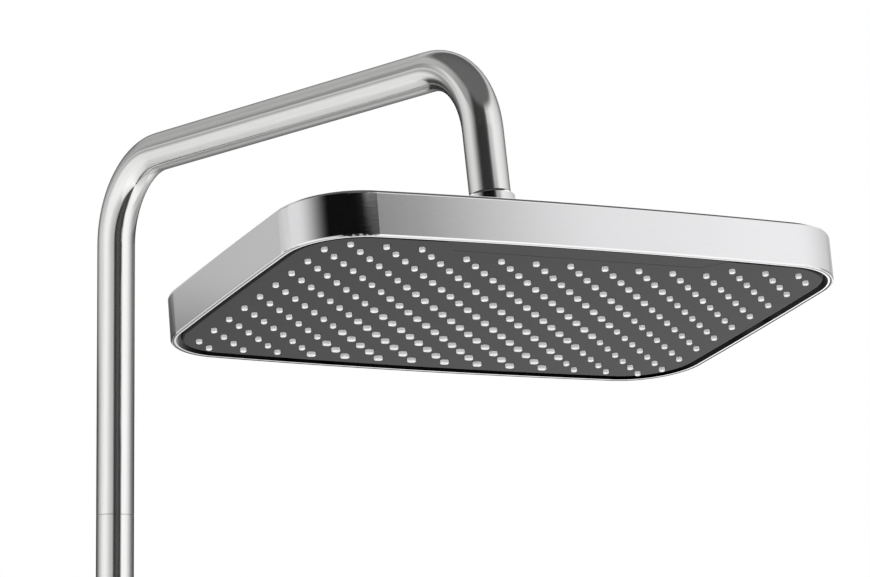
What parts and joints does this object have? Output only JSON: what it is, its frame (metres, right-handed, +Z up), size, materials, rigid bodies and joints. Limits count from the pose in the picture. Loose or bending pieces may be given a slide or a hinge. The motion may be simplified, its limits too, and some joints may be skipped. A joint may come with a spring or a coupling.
{
  "type": "shower column",
  "caption": "Bent stainless shower column for a wall bracket, with a broad rectangular rain head on a ball joint and a push bar in its edge that picks the spray.",
  "frame": {"origin": "centre of the wall plate's back face, on the wall", "axes": "+Z up along the riser tube, +Y out of the column's back into the wall, so the arm and head reach towards -Y; +X to the right seen from the front"},
  "size_m": [0.3196, 0.5433, 0.8851],
  "materials": {
    "tube_steel": "satin stainless steel, fine grain along the tube",
    "shell_steel": "satin stainless steel",
    "trim_metal": "bright",
    "satin_fittings": "satin stainless steel",
    "bright_fittings": "polished",
    "brass": "machined",
    "screw_steel": "plain stainless steel",
    "spring_steel": "drawn wire",
    "face_plastic": "dark grey, satin",
    "nozzle_silicone": "off-white silicone",
    "inner_plastic": "moulded black",
    "bearing_plastic": "white acetal",
    "strainer_steel": "perforated sheet",
    "seal_rubber": "black rubber"
  },
  "bodies": {
    "riser": {"lower_tube": "tube_steel", "tail_piece": "brass", "union_washer": "seal_rubber", "union_nut": "bright_fittings", "wall_plate": "brass", "wall_rose": "satin_fittings", "bracket_post": "satin_fittings", "post_screw": "screw_steel", "ring_liner": "bearing_plastic", "ring_screw": "screw_steel", "swivel_spigot": "brass", "swivel_o_rings": "seal_rubber", "seam_washer": "satin_fittings"},
    "arm": {"upper_tube": "tube_steel", "swivel_bush": "bearing_plastic", "arm_stop_screw": "screw_steel", "drop_nipple": "brass", "flow_regulator": "bearing_plastic", "joint_washer": "seal_rubber", "strainer_washer": "strainer_steel", "ball_stem": "bright_fittings"},
    "swivel": {"ball_slip_ring": "bearing_plastic"},
    "tilt": {"ball_seat": "bearing_plastic"},
    "head": {"joint_nut": "bright_fittings", "lock_nut": "bright_fittings", "inlet_boss": "brass", "boss_o_ring": "seal_rubber", "boss_screws": "screw_steel", "head_shell": "shell_steel", "trim_ring": "trim_metal", "face_plate": "face_plastic", "nozzle_mat": "nozzle_silicone", "spray_chamber": "inner_plastic", "face_screws": "screw_steel", "manifold_cover": "inner_plastic", "rocker_pin": "screw_steel", "stem_seal": "seal_rubber", "valve_cage": "inner_plastic", "valve_spring": "spring_steel", "bar_springs": "spring_steel"},
    "selector": {"selector_bar": "face_plastic", "bar_clips": "spring_steel"},
    "rocker": {"selector_rocker": "bearing_plastic"},
    "valve": {"valve_stem": "bearing_plastic", "valve_washer": "seal_rubber"}
  },
  "joints": [
    {"name": "arm_swivel", "type": "hinge", "parent": "riser", "child": "arm", "pos_m": [0, -0.06, 0.0989], "axis": [0, 0, 1], "range_deg": [-60, 60]},
    {"name": "head_swivel", "type": "hinge", "parent": "arm", "child": "swivel", "pos_m": [0, -0.41963, 0.20134], "axis": [0, 0.1633, 0.9866], "continuous": true},
    {"name": "head_nod", "type": "hinge", "parent": "swivel", "child": "tilt", "pos_m": [0, -0.41963, 0.20134], "axis": [0.9858, -0.1677, 0.0065], "range_deg": [-10.5, 10.5]},
    {"name": "head_roll", "type": "hinge", "parent": "tilt", "child": "head", "pos_m": [0, -0.41963, 0.20134], "axis": [0.1668, 0.9741, -0.1524], "range_deg": [-10.5, 10.5]},
    {"name": "selector_press", "type": "slide", "parent": "head", "child": "selector", "axis": [0.0192, 0.1514, 0.9883], "range_m": [0, 0.0015], "stiffness_N_per_m": 800, "springref_m": -0.003, "deforming": ["bar_springs"]},
    {"name": "rocker_turn", "type": "hinge", "parent": "head", "child": "rocker", "pos_m": [-0.01134, -0.48657, 0.19411], "axis": [0.9858, -0.1677, 0.0065], "range_deg": [-3.3, 0]},
    {"name": "valve_slide", "type": "slide", "parent": "head", "child": "valve", "axis": [-0.0192, -0.1514, -0.9883], "range_m": [0, 0.0015], "deforming": ["valve_spring"]}
  ],
  "couplings": [
    {"joint": "rocker_turn", "follows": "selector_press", "rad_per_m": -37.736},
    {"joint": "valve_slide", "follows": "selector_press", "ratio": 1}
  ]
}
